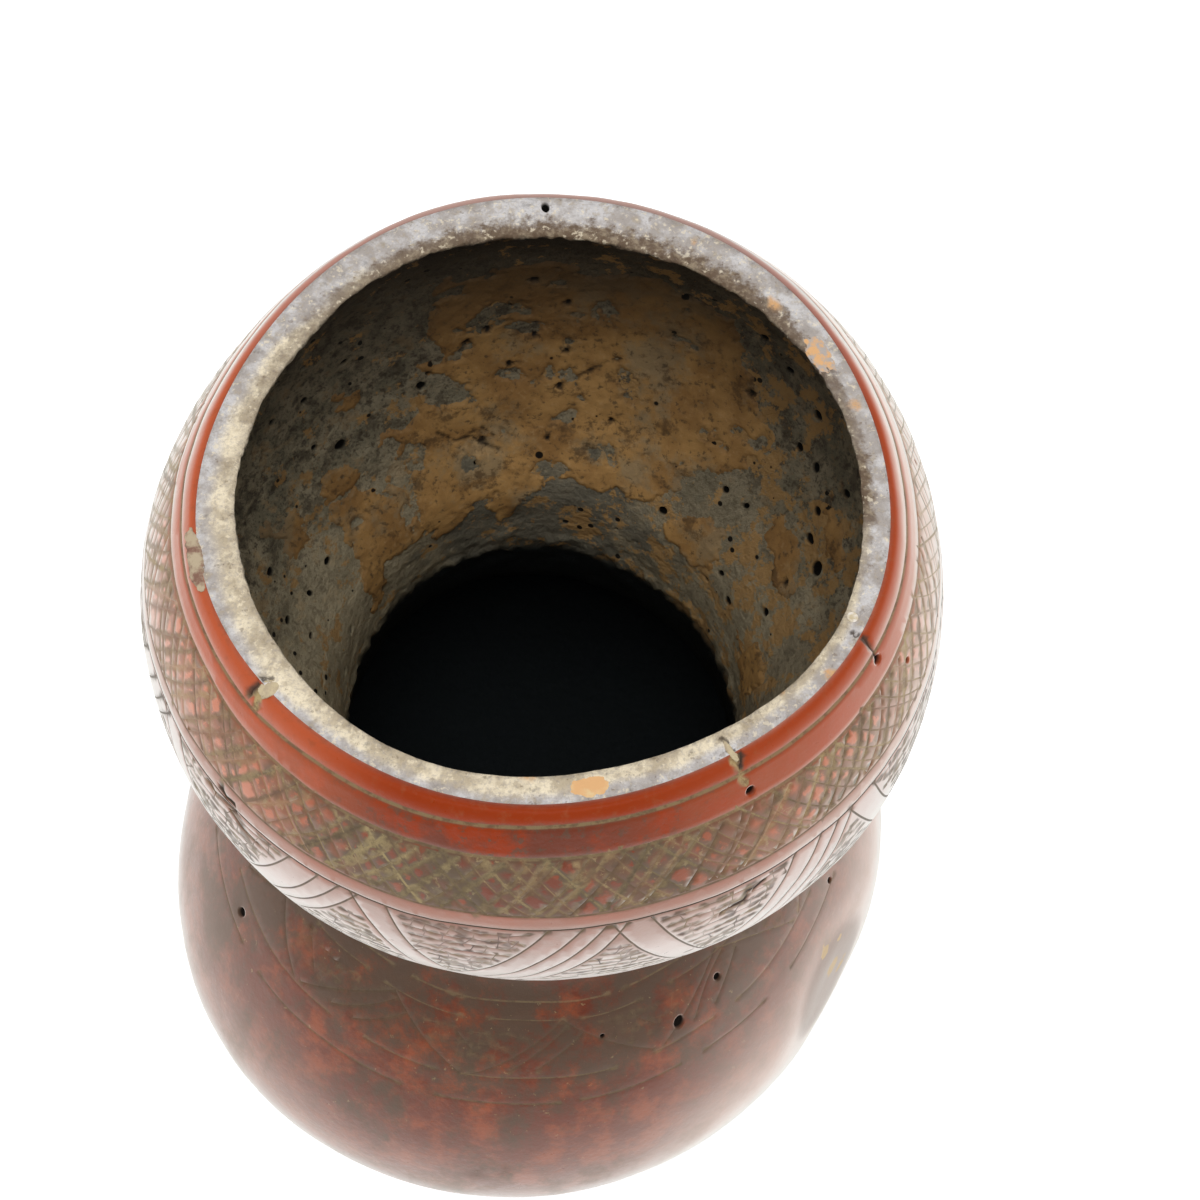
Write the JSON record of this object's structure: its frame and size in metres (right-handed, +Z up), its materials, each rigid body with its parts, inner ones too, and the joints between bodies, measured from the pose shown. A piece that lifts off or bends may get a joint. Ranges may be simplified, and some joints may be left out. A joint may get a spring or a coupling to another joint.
{
  "type": "gourd jug",
  "caption": "Double-bellied bottle gourd jug with a narrow waist, a wide level-cut open mouth, a hollow through both chambers and a small flat base.",
  "frame": {"origin": "centre of the flat base that the jug stands on", "axes": "+Z up from the base to the mouth, -Y to the front of the picture, +X to its right"},
  "size_m": [0.1713, 0.1696, 0.2416],
  "materials": {
    "rind": "waxed, rubbed, red-brown gourd rind with engraved bands",
    "dried_coat": "matte, smooth ochre-brown dried coat, flaked at its edges",
    "pale_paste": "matte, gritty pale tan paste",
    "orange_gum": "semi-matte orange gum",
    "white_bead": "hard off-white drop"
  },
  "bodies": {
    "root": {"gourd_shell": "rind", "coat_back_sheet": "dried_coat", "coat_left_tongue": "dried_coat", "coat_left_high_spot": "dried_coat", "coat_left_middle_spot": "dried_coat", "coat_left_low_spot": "dried_coat", "coat_left_island": "dried_coat", "coat_left_rim_side_spot": "dried_coat", "coat_right_low_patch": "dried_coat", "coat_right_middle_patch": "dried_coat", "coat_right_upper_patch": "dried_coat", "coat_front_right_patch": "dried_coat", "rim_paste_left": "pale_paste", "rim_crust_left": "pale_paste", "rim_crack_fill_front": "pale_paste", "rim_gum_front": "orange_gum", "rim_grit_right": "orange_gum", "rim_bead_right": "white_bead"}
  },
  "joints": []
}
